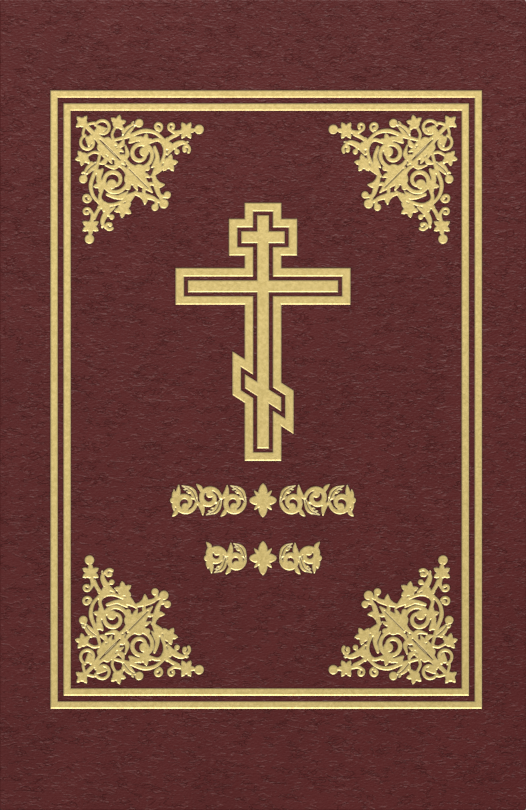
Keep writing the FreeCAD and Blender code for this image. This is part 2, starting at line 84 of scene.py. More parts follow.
# Tooling, in millimetres. The first three are distances from a foil's outline.
WALL = 0.2  # in to the floor of the impression
LIP = 0.13  # out to the level leather
PRESSED_RIM = 0.34  # out to leather that neither the tool's darkening nor the painted shade reaches
CORNER = 0.8
SHARPEST_CORNER = 0.2
RULE_WIDTH = 1.6
CROSS_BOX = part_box("cross_bar_foil")
CROSS_BOTTOM, CROSS_TOP = (round(end.y / MM, 3) for end in CROSS_BOX)
CROSS_ARM = round((CROSS_BOX[1].x - CROSS_BOX[0].x) / 2 / MM, 3)
CROSS_HALF_WIDTH = 1.32  # half the width of an inner bar
CROSS_GAP = 0.93  # bare leather around the inner bars
CROSS_BAND = 1.88
CROSS_BARS = ((38.06, 4.9), (26.92, CROSS_ARM))  # place and half length
CROSS_FOOT = (2.8, 4.1, -0.64)  # place, half width and slope of the slanted bar
CORNER_GRID = 29.5
ROW_HALF_HEIGHT = 3.9

# Paper: how far from its fold a sheet bends, and how finely.
SECTIONS = 12
LEAF_BEND = 40 * MM
FLYLEAF_BEND = 30 * MM
BENT_COLUMNS = 25
FLAT_COLUMNS = 7
SHEET_ROWS = 9

CREAM = (0.66, 0.60, 0.48)
ENDPAPER_CREAM = (0.62, 0.56, 0.44)


# ---- mesh helpers ----

def new_piece(name, vertices, faces, material, smooth=True):
    """A mesh object; its rest place is stored in millimetres for the materials."""
    mesh = bpy.data.meshes.new(name)
    mesh.from_pydata([tuple(v) for v in vertices], [], [tuple(f) for f in faces])
    mesh.validate()
    mesh.materials.append(material)
    rest = mesh.attributes.new("rest", "FLOAT_VECTOR", "POINT")
    places = np.array([v.co for v in mesh.vertices], np.float32).reshape(-1, 3) / MM
    rest.data.foreach_set("vector", places.ravel())
    mesh.polygons.foreach_set("use_smooth", [smooth] * len(mesh.polygons))
    piece = bpy.data.objects.new(name, mesh)
    bpy.context.scene.collection.objects.link(piece)
    return piece


def smooth_only(piece, test):
    """Flat shading, apart from the faces whose centre passes the test."""
    flags = [bool(test(face.center)) for face in piece.data.polygons]
    piece.data.polygons.foreach_set("use_smooth", flags)


def sharpen(piece):
    """Smooth shading that stops at every sharp edge."""
    sharpest = math.radians(50)
    shape = bmesh.new()
    shape.from_mesh(piece.data)
    for edge in shape.edges:
        if len(edge.link_faces) == 2 and edge.calc_face_angle() > sharpest:
            edge.smooth = False
    shape.to_mesh(piece.data)
    shape.free()


def lathe_rings(rings, first=0):
    """Quads between successive rings of equally many points."""
    faces = []
    count = len(rings[0])
    for ring in range(len(rings) - 1):
        low = first + ring * count
        for i in range(count):
            j = (i + 1) % count
            faces.append((low + i, low + j, low + count + j, low + count + i))
    return faces


# ---- materials ----

class Nodes:
    """A short way to build a node material. Patterns are in millimetres, and follow a piece's rest place or
    the object's own."""

    def __init__(self, name, coordinates="rest"):
        self.material = bpy.data.materials.new(name)
        self.material.use_nodes = True
        self.tree = self.material.node_tree
        self.shader = self.tree.nodes["Principled BSDF"]
        if coordinates == "rest":
            node = self.add("ShaderNodeAttribute")
            node.attribute_name = "rest"
            self.place = node.outputs["Vector"]
        else:
            node = self.add("ShaderNodeTexCoord")
            scaled = self.add("ShaderNodeVectorMath", operation="SCALE")
            self.link(node.outputs["Object"], scaled.inputs[0])
            scaled.inputs["Scale"].default_value = 1 / MM
            self.place = scaled.outputs[0]

    def add(self, kind, **settings):
        node = self.tree.nodes.new(kind)
        for key, value in settings.items():
            setattr(node, key, value)
        return node

    def link(self, start, end):
        self.tree.links.new(start, end)

    def feed(self, value, socket):
        if hasattr(value, "is_output"):
            self.link(value, socket)
        else:
            socket.default_value = value

    def stretched(self, source, scale, turn=0.0):
        """The place with each axis scaled, for patterns that run one way."""
        node = self.add("ShaderNodeMapping")
        self.link(source, node.inputs["Vector"])
        node.inputs["Scale"].default_value = scale
        node.inputs["Rotation"].default_value = (0, 0, turn)
        return node.outputs[0]

    def noise(self, source, scale, detail=2.0, roughness=0.5, distortion=0.0, colour=False):
        node = self.add("ShaderNodeTexNoise")
        self.link(source, node.inputs["Vector"])
        node.inputs["Scale"].default_value = scale
        node.inputs["Detail"].default_value = detail
        node.inputs["Roughness"].default_value = roughness
        node.inputs["Distortion"].default_value = distortion
        return node.outputs["Color" if colour else "Fac"]

    def math(self, operation, first, second=0.0, third=0.0):
        node = self.add("ShaderNodeMath", operation=operation)
        for value, socket in zip((first, second, third), node.inputs):
            self.feed(value, socket)
        return node.outputs[0]

    def span(self, value, low, high, to_low=0.0, to_high=1.0):
        """The value mapped smoothly from one span to another, and held at its ends."""
        node = self.add("ShaderNodeMapRange", interpolation_type="SMOOTHSTEP")
        self.feed(value, node.inputs["Value"])
        for key, number in (("From Min", low), ("From Max", high), ("To Min", to_low), ("To Max", to_high)):
            node.inputs[key].default_value = number
        return node.outputs["Result"]

    def mix(self, share, first, second):
        node = self.add("ShaderNodeMix", data_type="RGBA")
        self.feed(share, node.inputs["Factor"])
        for value, socket in ((first, node.inputs[6]), (second, node.inputs[7])):
            self.feed(value if hasattr(value, "is_output") else (*value, 1), socket)
        return node.outputs[2]

    def warped(self, amount, scale):
        """The place pushed about by a slow noise."""
        colour = self.noise(self.place, scale, colour=True)
        node = self.add("ShaderNodeVectorMath", operation="MULTIPLY_ADD")
        self.link(colour, node.inputs[0])
        node.inputs[1].default_value = (amount, amount, amount)
        self.link(self.place, node.inputs[2])
        return node.outputs[0]

    def contour(self, value, level, width):
        """1 along a value's contour line, falling to 0 at width on both sides."""
        away = self.math("ABSOLUTE", self.math("SUBTRACT", value, level))
        return self.span(away, 0.0, width, 1.0, 0.0)

    def attribute(self, name):
        node = self.add("ShaderNodeAttribute")
        node.attribute_name = name
        return node.outputs["Fac"]

    def bump(self, height, distance):
        node = self.add("ShaderNodeBump")
        self.link(height, node.inputs["Height"])
        node.inputs["Distance"].default_value = distance
        node.inputs["Strength"].default_value = 1.0
        self.link(node.outputs[0], self.shader.inputs["Normal"])

    def finish(self, colour, roughness, **sockets):
        base = colour if hasattr(colour, "is_output") else (*colour, 1)
        self.feed(base, self.shader.inputs["Base Color"])
        self.feed(roughness, self.shader.inputs["Roughness"])
        for name, value in sockets.items():
            self.shader.inputs[name.replace("_", " ")].default_value = value
        return self.material


def leather_material(name):
    """Burgundy leather with short creases that run across the book, and a fine grain."""
    dark, light = (0.0550, 0.0062, 0.0065), (0.0615, 0.0075, 0.0078)
    # The first of these lightens the creases, part wear and part painted highlight; the second is painted
    # shade in the folds; the third darkens the leather round the tooling, part the tool's own darkening and
    # part painted shade.
    crest_wear_and_highlight, hollow_shade, crushed_and_shaded = (0.135, 0.040, 0.037), (0.032, 0.0035, 0.004), (0.022, 0.003, 0.002)
    n = Nodes(name)
    place = n.warped(2.2, 0.16)
    along_creases = n.stretched(place, (0.3, 0.85, 0.85))
    along_folds = n.stretched(place, (0.42, 1.15, 1.15), 0.15)
    patches = n.stretched(n.place, (0.5, 0.9, 0.9))
    creases = n.contour(n.noise(along_creases, 1.0, 1.6, 0.45, 0.3), 0.5, 0.07)
    folds = n.contour(n.noise(along_folds, 1.2, 1.4, 0.45, 0.3), 0.48, 0.06)
    crease = n.math("MULTIPLY", creases, n.span(n.noise(patches, 0.75), 0.44, 0.62))
    fold = n.math("MULTIPLY", folds, n.span(n.noise(patches, 0.62), 0.46, 0.62))
    grain = n.noise(n.stretched(n.place, (0.7, 1.25, 1.2)), 2.2)
    height = n.math("MULTIPLY_ADD", crease, 0.36, n.math("MULTIPLY", grain, 0.5))
    n.bump(n.math("MULTIPLY_ADD", fold, -0.5, height), 0.23 * MM)
    colour = n.mix(n.span(n.noise(n.place, 0.06), 0.3, 0.7), dark, light)
    # Painted highlight, partly wear too: the creases made lighter.
    colour = n.mix(n.math("MULTIPLY", crease, 0.12), colour, crest_wear_and_highlight)
    # Painted shade: the folds made darker.
    colour = n.mix(n.math("MULTIPLY", fold, 0.35), colour, hollow_shade)
    # Part the tool's own darkening, part painted shade: the leather round each impression made darker.
    colour = n.mix(n.math("MULTIPLY", n.attribute("pressed"), 0.75), colour, crushed_and_shaded)
    return n.finish(colour, n.span(grain, 0.3, 0.7, 0.5, 0.4), Specular_IOR_Level=0.15)


def gold_material(name):
    """Pale gold foil, a little mottled where it lies on the leather's grain."""
    dark, light, rim = (0.455, 0.352, 0.126), (0.555, 0.437, 0.174), (0.62, 0.52, 0.26)
    n = Nodes(name)
    mottle = n.noise(n.place, 1.3, 3.0, 0.6)
    fine = n.noise(n.stretched(n.place, (0.8, 1.3, 1.0)), 4.5)
    n.bump(n.math("MULTIPLY_ADD", fine, 0.5, mottle), 0.035 * MM)
    colour = n.mix(n.span(mottle, 0.3, 0.7), dark, light)
    # Painted highlight: the foil's walls made paler from the floor up to the leather.
    colour = n.mix(n.attribute("rim"), colour, rim)
    return n.finish(colour, n.span(fine, 0.3, 0.7, 0.42, 0.52), Metallic=0.75)


def shaded(tint, share):
    """A tint made darker."""
    return tuple(c * share for c in tint)


def paper_material(name, tint, coordinates="rest", edges=False):
    """Uncoated paper; the edges of a block of it show fine layers."""
    n = Nodes(name, coordinates)
    fibre = n.noise(n.place, 2.5, 4.0, 0.65)
    colour = n.mix(n.span(n.noise(n.place, 0.05), 0.3, 0.7), shaded(tint, 0.975), tint)
    height = fibre
    if edges:
        layers = n.noise(n.stretched(n.place, (0.05, 0.05, 6.5)), 1.0, 2.0, 0.7)
        colour = n.mix(n.span(layers, 0.35, 0.65, 0.5, 0.0), colour, shaded(tint, 0.55))
        height = n.math("MULTIPLY_ADD", layers, 2.5, fibre)
    n.bump(height, 0.03 * MM)
    return n.finish(colour, 0.85, Specular_IOR_Level=0.2)


def cloth_material(name, tint, pitch):
    """Plain woven cloth."""
    n = Nodes(name, "object")
    warp = n.add("ShaderNodeTexWave", wave_type="BANDS", bands_direction="X")
    weft = n.add("ShaderNodeTexWave", wave_type="BANDS", bands_direction="Y")
    for wave in (warp, weft):
        n.link(n.place, wave.inputs["Vector"])
        wave.inputs["Scale"].default_value = pitch
    weave = n.math("MULTIPLY", warp.outputs["Fac"], weft.outputs["Fac"])
    n.bump(weave, 0.08 * MM)
    return n.finish(n.mix(weave, shaded(tint, 0.6), tint), 0.9, Specular_IOR_Level=0.15)


def striped_material(name):
    """Headband cloth: burgundy and cream threads side by side."""
    burgundy, cream = (0.2, 0.02, 0.02), (0.7, 0.62, 0.47)
    n = Nodes(name)
    stripes = n.add("ShaderNodeTexWave", wave_type="BANDS", bands_direction="Z")
    n.link(n.place, stripes.inputs["Vector"])
    stripes.inputs["Scale"].default_value = 0.2
    n.bump(n.noise(n.place, 6.0), 0.04 * MM)
    colour = n.mix(n.span(stripes.outputs["Fac"], 0.45, 0.55), burgundy, cream)
    return n.finish(colour, 0.6, Sheen_Weight=0.3)


def board_material(name, tint):
    """Pressed board and card with coarse fibres."""
    n = Nodes(name, "object")
    fibres = n.noise(n.stretched(n.place, (0.6, 1.0, 3.0)), 1.8, 4.0, 0.7)
    n.bump(fibres, 0.06 * MM)
    colour = n.mix(n.span(fibres, 0.3, 0.7), shaded(tint, 0.75), tint)
    return n.finish(colour, 0.9, Specular_IOR_Level=0.2)


# ---- flat drawing: signed distance to strokes, and its contours ----

class Drawing:
    """A drawing made of tapered strokes and discs, kept as a signed distance on a grid."""

    STEP = 0.07
    REACH = 1.0

    def __init__(self, x_span, y_span):
        self.low = np.array([x_span[0] - self.REACH, y_span[0] - self.REACH])
        across = int((x_span[1] + self.REACH - self.low[0]) / self.STEP) + 1
        along = int((y_span[1] + self.REACH - self.low[1]) / self.STEP) + 1
        self.field = np.full((along, across), self.REACH)
        self.veins = []

    def window(self, low, high):
        """The part of the grid near a box."""
        first = np.floor((low - self.low) / self.STEP).astype(int).clip(0)
        last = np.ceil((high - self.low) / self.STEP).astype(int) + 1
        rows = slice(first[1], min(last[1], self.field.shape[0]))
        columns = slice(first[0], min(last[0], self.field.shape[1]))
        y, x = np.mgrid[rows, columns] * self.STEP
        return rows, columns, x + self.low[0], y + self.low[1]

    def near_segment(self, a, b, margin):
        """The grid near a straight stretch: how far each point is from it, and how far along it that is."""
        rows, columns, x, y = self.window(np.minimum(a, b) - margin, np.maximum(a, b) + margin)
        run = b - a
        length = max(float(run @ run), TINY)
        t = (((x - a[0]) * run[0] + (y - a[1]) * run[1]) / length).clip(0, 1)
        return rows, columns, np.hypot(x - a[0] - t * run[0], y - a[1] - t * run[1]), t

    def taper(self, a, b, radius_a, radius_b):
        """One straight stretch whose radius runs from radius_a to radius_b."""
        rows, columns, gap, t = self.near_segment(a, b, max(radius_a, radius_b) + self.REACH)
        distance = gap - (radius_a + t * (radius_b - radius_a))
        self.field[rows, columns] = np.minimum(self.field[rows, columns], distance)

    def disc(self, x, y, radius):
        """A ball or bud."""
        point = np.array([x, y], float)
        self.taper(point, point, radius, radius)

    def follow(self, path, radii):
        """A stroke along a path, whose radius runs through the given radii."""
        share = np.linspace(0, 1, len(path))
        widths = np.interp(share, np.linspace(0, 1, len(radii)), radii)
        for i in range(len(path) - 1):
            self.taper(path[i], path[i + 1], widths[i], widths[i + 1])

    def stroke(self, points, radii):
        """A stroke along a smooth curve through the points."""
        self.follow(smooth_path(np.array(points, float)), radii)

    def spiral(self, x, y, start_radius, end_radius, start, turns, radii, ball=0.0):
        """A scroll about x, y from start_radius in to end_radius; start and turns are in degrees."""
        share = np.linspace(0, 1, 40)
        angle = np.radians(start + turns * share)
        radius = start_radius + (end_radius - start_radius) * share ** 0.8
        path = np.stack([x + radius * np.cos(angle), y + radius * np.sin(angle)], 1)
        self.follow(path, radii)
        if ball:
            self.disc(*path[-1], ball)

    def leaf(self, base, tip, width, bend=0.0):
        """A pointed leaf from base to tip, bowed sideways by bend."""
        base, tip = np.array(base, float), np.array(tip, float)
        side = np.array([base[1] - tip[1], tip[0] - base[0]])
        middle = (base + tip) / 2 + side * bend
        self.stroke([base, middle, tip], [0.18, width * 0.8, width, width * 0.7, 0.1])

    def frond(self, points, width, lobes, sides=(1, -1), vein=True):
        """An acanthus leaf along a curve: a tapered body with pointed lobes that lean forward."""
        path = smooth_path(np.array(points, float))
        self.stroke(points, [0.2, width * 0.75, width, width * 0.8, width * 0.45, 0.12])
        for lobe in range(lobes):
            share = 0.22 + 0.66 * lobe / max(lobes - 1, 1)
            at = int(share * (len(path) - 2))
            step = path[at + 1] - path[at]
            ahead = step / max(np.hypot(*step), TINY)
            aside = np.array([-ahead[1], ahead[0]])
            body = width * (0.55 + 0.45 * math.sin(math.pi * share))
            for side in sides:
                root = path[at] + aside * side * body * 0.45
                reach = body * (1.0 - 0.25 * share)
                middle = root + aside * side * reach * 0.75 + ahead * reach * 0.35
                tip = root + aside * side * reach * 1.05 + ahead * reach * 1.15
                self.stroke([root, middle, tip], [body * 0.42, body * 0.34, 0.1])
        if vein:
            self.veins.append(path[int(len(path) * 0.1):int(len(path) * 0.85)])

    def flower(self, x, y, petal, direction, petals, spread):
        """A vine leaf facing a direction in degrees: round lobes about a heart."""
        self.disc(x, y, petal * 1.15)
        heart = np.array([x, y], float)
        for i in range(petals):
            angle = math.radians(direction + spread * (i - (petals - 1) / 2))
            way = np.array([math.cos(angle), math.sin(angle)])
            inner, outer, tip = (heart + reach * petal * way for reach in (0.6, 1.3, 1.8))
            self.taper(inner, outer, petal * 0.58, petal * 0.44)
            self.taper(outer, tip, petal * 0.4, petal * 0.12)

    def cut_veins(self, radius):
        """A fine line left bare along every vein."""
        for path in self.veins:
            for a, b in zip(path[:-1], path[1:]):
                rows, columns, gap, _ = self.near_segment(a, b, radius + self.REACH)
                self.field[rows, columns] = np.maximum(self.field[rows, columns], radius - gap)

    def grow(self, amount):
        """Everything drawn so far, made fuller all round."""
        self.field -= amount

    def mirror_diagonal(self):
        """The half under the diagonal, and its image across the diagonal."""
        above = np.tril(np.ones_like(self.field, bool), -1)
        self.field = np.where(above, self.field.T, self.field)

    def mirror_across(self):
        """What is drawn, with its image across the upright axis."""
        self.field = np.minimum(self.field, self.field[:, ::-1])

    def loops(self, level):
        """Closed outlines of the drawing at a signed distance."""
        return [thinned(loop * self.STEP + self.low) for loop in grid_contours(self.field - level)]


def smooth_path(points):
    """A Catmull-Rom curve through the points."""
    if len(points) == 2:
        return points
    steps = 9
    ends = np.vstack([2 * points[0] - points[1], points, 2 * points[-1] - points[-2]])
    path = []
    for i in range(1, len(ends) - 2):
        a, b, c, d = ends[i - 1:i + 3]
        for t in np.arange(steps) / steps:
            path.append(
                0.5 * (2 * b + (c - a) * t + (2 * a - 5 * b + 4 * c - d) * t * t
                       + (3 * b - a - 3 * c + d) * t ** 3)
            )
    path.append(points[-1])
    return np.array(path)


def grid_links(field):
    """Which grid edges a zero line joins. An edge is a row, a column, and whether it is upright."""
    inside = field < 0
    mixed = inside[:-1, :-1].astype(int) + inside[1:, :-1] + inside[:-1, 1:] + inside[1:, 1:]
    links = {}
    for row, column in np.argwhere((mixed > 0) & (mixed < 4)).tolist():
        sides = [
            (row, column, False), (row, column + 1, True), (row + 1, column, False), (row, column, True),
        ]
        met = [side for side in sides if inside[side[:2]] != inside[far_corner(side)]]
        if len(met) == 2:
            pairs = [met]
        elif inside[row, column] == (field[row:row + 2, column:column + 2].mean() < 0):
            pairs = [sides[0:2], sides[2:4]]
        else:
            pairs = [[sides[0], sides[3]], sides[1:3]]
        for a, b in pairs:
            links.setdefault(a, []).append(b)
            links.setdefault(b, []).append(a)
    return links


def far_corner(edge):
    """The row and column at a grid edge's other end."""
    row, column, upright = edge
    return (row + 1, column) if upright else (row, column + 1)


def grid_contours(field):
    """Closed loops where the field is zero, in grid steps (across, along)."""
    fewest = 6

    def place(edge):
        row, column, upright = edge
        share = field[row, column] / (field[row, column] - field[far_corner(edge)])
        return (column, row + share) if upright else (column + share, row)

    links = grid_links(field)
    loops = []
    while links:
        here = start = next(iter(links))
        loop = [start]
        while links[here]:
            there = links[here].pop()
            links[there].remove(here)
            here = there
            if here == start:
                break
            loop.append(here)
        for edge in loop:
            if not links[edge]:
                del links[edge]
        if len(loop) >= fewest:
            loops.append(np.array([place(edge) for edge in loop]))
    return loops


def thinned(loop, shortest=0.1, longest=0.32, turn=0.16):
    """A closed loop with fewer points where it runs nearly straight."""
    kept = [loop[0]]
    for i in range(1, len(loop) - 1):
        step = loop[i] - kept[-1]
        length = np.hypot(*step)
        if length < shortest:
            continue
        ahead = loop[min(i + 2, len(loop) - 1)] - loop[i]
        bend = abs(step[0] * ahead[1] - step[1] * ahead[0]) / max(length * np.hypot(*ahead), TINY)
        if length > longest or bend > turn:
            kept.append(loop[i])
    return np.array(kept)


# ---- the gold tooling's outlines ----

def corner_drawing():
    """One corner ornament, from its corner along both legs: foliate scrolls of this book's own design."""
    d = Drawing((0, CORNER_GRID), (0, CORNER_GRID))
    fine = [0.26, 0.32, 0.26]
    d.flower(1.75, 1.75, 0.9, 225, 3, 80)
    d.stroke([(2.2, 2.2), (3.6, 3.4), (5.2, 5.2)], [0.32, 0.28, 0.4])
    d.spiral(6.35, 2.95, 1.75, 1.2, 200, 350, fine)
    d.leaf((5.2, 2.6), (7.2, 3.2), 0.62, 0.2)
    d.stroke([(3.0, 2.2), (4.2, 1.9), (4.9, 2.1)], [0.26, 0.26])
    d.stroke([(4.8, 3.6), (5.6, 5.0), (7.2, 5.9), (8.8, 5.8)], [0.26, 0.32, 0.28])
    d.stroke([(8.8, 5.8), (8.5, 4.4), (9.2, 2.9)], [0.28, 0.26])
    d.flower(9.75, 1.95, 0.98, -45, 4, 64)
    branch = [0.28, 0.36, 0.42, 0.34, 0.28]
    d.stroke([(8.8, 5.8), (12.2, 4.9), (15.6, 3.7), (18.2, 4.1), (20.2, 5.7)], branch)
    d.frond([(10.9, 5.0), (12.4, 3.2), (13.9, 2.2)], 0.85, 2, (-1,))
    d.disc(14.6, 1.95, 0.9)
    d.spiral(18.9, 2.75, 1.0, 0.5, 75, -330, [0.24, 0.3], 0.46)
    d.frond([(5.4, 5.4), (8.2, 8.0), (11.4, 11.4)], 1.4, 4)
    d.leaf((9.6, 7.3), (11.1, 5.6), 0.55, 0.2)
    d.stroke([(10.8, 10.4), (11.9, 9.0), (11.5, 7.0)], [0.5, 0.5, 0.14])
    d.spiral(14.9, 8.9, 3.7, 1.0, 170, -560, [0.28, 0.42, 0.42, 0.3], 1.05)
    d.flower(15.9, 6.1, 0.98, 250, 4, 66)
    d.frond([(12.4, 6.3), (13.8, 5.5), (15.6, 6.0)], 0.66, 2, (-1,), False)
    d.stroke([(11.9, 10.9), (13.6, 12.6), (15.2, 12.9), (16.3, 12.2)], [0.34, 0.3])
    d.disc(16.5, 12.1, 0.58)
    d.stroke([(17.0, 6.2), (18.9, 5.7), (20.2, 6.8), (20.4, 8.8), (19.6, 11.0)], [0.34, 0.36, 0.3])
    d.stroke([(18.1, 7.4), (18.7, 9.4), (18.6, 11.4), (17.8, 13.6)], [0.3, 0.5, 0.3])
    d.leaf((18.7, 9.4), (17.5, 12.0), 0.5, -0.1)
    d.flower(20.6, 6.6, 0.78, 0, 3, 74)
    d.stroke([(20.6, 6.2), (21.8, 5.2), (23.4, 4.4)], [0.3, 0.36, 0.4])
    d.spiral(22.0, 2.7, 0.85, 0.4, 130, 270, [0.24, 0.26], 0.36)
    d.stroke([(21.4, 3.3), (22.6, 4.0), (24.0, 3.9)], [0.26, 0.4])
    d.flower(25.3, 3.6, 1.05, 0, 5, 60)
    d.disc(28.2, 3.35, 1.0)
    d.stroke([(26.4, 3.5), (28.0, 3.35)], [0.26, 0.26])
    d.frond([(21.0, 9.0), (22.4, 7.2), (24.4, 6.3), (25.8, 7.0)], 0.62, 2, (-1,), False)
    d.spiral(25.2, 7.75, 0.95, 0.4, 50, -280, [0.3, 0.28], 0.46)
    d.disc(23.2, 8.4, 0.55)
    d.stroke([(23.2, 8.4), (22.6, 7.3)], [0.24, 0.26])
    d.stroke([(19.6, 11.0), (18.9, 12.6), (17.6, 13.9)], [0.3, 0.34])
    d.flower(21.3, 11.0, 1.08, 25, 4, 66)
    d.stroke([(17.8, 13.6), (19.2, 12.7), (20.6, 11.4)], [0.3, 0.38])
    d.frond([(12.0, 12.0), (14.6, 14.6), (17.6, 17.6)], 1.5, 3)
    d.stroke([(13.2, 12.2), (14.8, 11.9), (15.9, 13.4)], [0.4, 0.62, 0.14])
    d.stroke([(17.8, 13.6), (18.4, 15.8), (19.2, 18.2), (20.6, 18.6)], [0.34, 0.62, 0.4, 0.3])
    d.leaf((18.2, 14.6), (20.3, 15.9), 0.7, 0.3)
    d.disc(21.0, 18.2, 0.75)
    d.disc(20.2, 20.2, 1.0)
    d.stroke([(19.4, 18.6), (20.2, 20.2)], [0.32, 0.36])
    d.grow(0.06)
    d.cut_veins(0.07)
    d.mirror_diagonal()
    return d


def garland_drawing(half_length, scrolls):
    """A row of scrolls and leaves on both sides of a four-lobed flower."""
    d = Drawing((-half_length, half_length), (-ROW_HALF_HEIGHT, ROW_HALF_HEIGHT))
    for dx, dy in ((1, 0), (-1, 0), (0, 1), (0, -1)):
        d.leaf((0.4 * dx, 0.4 * dy), (3.0 * dx, 3.75 * dy), 1.0)
    for dx, dy in ((1, 1), (1, -1), (-1, 1), (-1, -1)):
        d.leaf((0.5 * dx, 0.5 * dy), (1.9 * dx, 2.1 * dy), 0.42)
    d.disc(0, 0, 0.9)
    pitch = (half_length - 4.6) / scrolls
    for i in range(scrolls):
        way = 1 if i % 2 == 0 else -1
        x = 3.9 + (i + 0.5) * pitch
        size = 0.46 * pitch
        d.spiral(x, -0.55 * way, size, 0.9, 185 * way, 440 * way, [0.42, 0.62, 0.42], 0.85)
        d.frond([
            (x - 0.5 * pitch, -0.4 * way), (x - 0.28 * pitch, 2.2 * way), (x + 0.12 * pitch, 3.3 * way),
        ], 0.72, 3, (-way,))
        d.leaf((x + 0.5 * pitch, 0.3 * way), (x + 0.26 * pitch, 3.4 * way), 0.6, 0.14 * way)
        d.leaf((x + 0.3 * pitch, -1.8 * way), (x + 0.52 * pitch, -3.6 * way), 0.5, -0.1 * way)
    d.leaf((half_length - 1.9, 0), (half_length - 1.0, 2.4), 0.5, -0.2)
    d.leaf((half_length - 1.9, 0), (half_length - 1.0, -2.4), 0.5, 0.2)
    d.disc(half_length - 0.75, 0, 0.7)
    d.cut_veins(0.08)
    d.mirror_across()
    return d


def cross_outline(grown):
    """The corners of the three-bar cross with a slanted foot, every edge moved out by grown (mm)."""
    half = CROSS_HALF_WIDTH + grown
    foot, foot_reach, slope = CROSS_FOOT
    reach = foot_reach + grown
    rise = half * math.hypot(1, slope)

    def side(way):
        points = [(way * half, CROSS_TOP + grown)]
        for y, arm in CROSS_BARS:
            end = arm + grown
            points += [(way * x, y + up * half) for x, up in ((half, 1), (end, 1), (end, -1), (half, -1))]
        for x, up in ((half, 1), (reach, 1), (reach, -1), (half, -1)):
            points.append((way * x, foot + slope * way * x + up * rise))
        return points + [(way * half, CROSS_BOTTOM - grown)]

    return np.array(side(1) + side(-1)[::-1])


def rule_corners(node, inset):
    """The corners of a rule's rectangle, moved in by inset, in the cover's millimetres."""
    low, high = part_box(node)
    x0, x1 = [(x - COVER_MIDDLE.x) / MM for x in (low.x, high.x)]
    y0, y1 = low.y / MM, high.y / MM
    x0, x1, y0, y1 = x0 + inset, x1 - inset, y0 + inset, y1 - inset
    return np.array([(x0, y0), (x1, y0), (x1, y1), (x0, y1)])


def rule_loops(node, level):
    """Both outlines of a gold rule at a signed distance."""
    return [rule_corners(node, -level), rule_corners(node, RULE_WIDTH + level)]


def cross_bar_loops(level):
    """The outline of the cross's inner bars at a signed distance."""
    return [cross_outline(level)]


def cross_band_loops(level):
    """Both outlines of the band around the cross at a signed distance."""
    return [cross_outline(CROSS_GAP + CROSS_BAND + level), cross_outline(CROSS_GAP - level)]


def corner_loops(drawing, level):
    """All four corner ornaments inside the inner rule."""
    corners = rule_corners("corner_ornament_foil", 0)
    loops = []
    for x, y in corners:
        scale = np.array([-np.sign(x), -np.sign(y)])
        loops += [loop * scale + (x, y) for loop in drawing.loops(level)]
    return loops


def garland_loops(drawing, y, level):
    """A row of ornament across the cover."""
    return [loop + np.array([0.0, y]) for loop in drawing.loops(level)]


def garland(node, scrolls):
    """The outlines of the row of ornament that fills a node, as a function of the signed distance."""
    low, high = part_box(node)
    half_length = round((high.x - low.x) / 2 / MM, 3)
    return partial(garland_loops, garland_drawing(half_length, scrolls), (low.y + high.y) / 2 / MM)


def tooled_designs():
    """Each foil's node, and a function that gives its outlines at a signed distance."""
    return {
        "outer_rule_foil": partial(rule_loops, "outer_rule_foil"),
        "inner_rule_foil": partial(rule_loops, "inner_rule_foil"),
        "cross_outline_foil": cross_band_loops,
        "cross_bar_foil": cross_bar_loops,
        "corner_ornament_foil": partial(corner_loops, corner_drawing()),
        "upper_ornament_foil": garland("upper_ornament_foil", 3),
        "lower_ornament_foil": garland("lower_ornament_foil", 2),
    }


def anticlockwise(loop):
    """The loop in the order that the triangulation needs."""
    x, y = loop[:, 0], loop[:, 1]
    area = np.sum(x * np.roll(y, -1) - np.roll(x, -1) * y)
    return loop if area > 0 else loop[::-1]


def triangulated(groups):
    """Triangles over closed loops, from groups of (loops, height, value). Gives the vertices, their values,
    the faces, and how many loops of each group a face lies inside."""
    tolerance = 1e-6
    points, heights, values, outlines, owner = [], [], [], [], []
    for number, (loops, height, value) in enumerate(groups):
        for loop in loops:
            first = len(points)
            points += [Vector(p) for p in anticlockwise(loop).tolist()]
            heights += [height] * len(loop)
            values += [value] * len(loop)
            outlines.append(list(range(first, len(points))))
            owner.append(number)
    made, _, triangles, origins, _, inside = delaunay_2d_cdt(points, [], outlines, 1, tolerance)
    sources = [origin[0] if origin else 0 for origin in origins]
    vertices = [
        (COVER_MIDDLE.x + point.x * MM, point.y * MM, COVER_MIDDLE.z + heights[source])
        for point, source in zip(made, sources)
    ]
    counts = [[sum(owner[loop] == g for loop in found) for g in range(len(groups))] for found in inside]
    return vertices, [values[source] for source in sources], [tuple(t) for t in triangles], counts


# ---- covers ----

def cover_ring(inset):
    """A cover's outline moved in by inset (m), with its corners a little round, in millimetres."""
    steps = 6
    corner = max(CORNER - inset / MM, SHARPEST_CORNER)
    left = (COVER_LOW.x + inset - COVER_MIDDLE.x) / MM + corner
    right = (COVER_HIGH.x - inset - COVER_MIDDLE.x) / MM - corner
    half = (COVER_HIGH.y - inset) / MM - corner
    points = []
    for quarter, (x, y) in enumerate(((right, half), (left, half), (left, -half), (right, -half))):
        for i in range(steps + 1):
            angle = math.radians(90 * quarter + 90 * i / steps)
            points.append((x + corner * math.cos(angle), y + corner * math.sin(angle)))
    return np.array(points)


def cover_profile():
    """Rings down a cover's edge, from its outer face: inset and depth."""
    thick = COVER_HIGH.z - COVER_LOW.z
    under = 0.45 * MM
    pared = 0.15 * MM
    turns = [math.radians(angle) for angle in range(0, 91, 15)]
    profile = [(EDGE_ROLL * (1 - math.sin(turn)), EDGE_ROLL * (1 - math.cos(turn))) for turn in turns]
    profile += [(under * (1 - math.cos(turn)), thick - under * (1 - math.sin(turn))) for turn in turns]
    profile += [(TURN_IN - 0.4 * MM, thick), (TURN_IN, thick - pared)]
    return profile


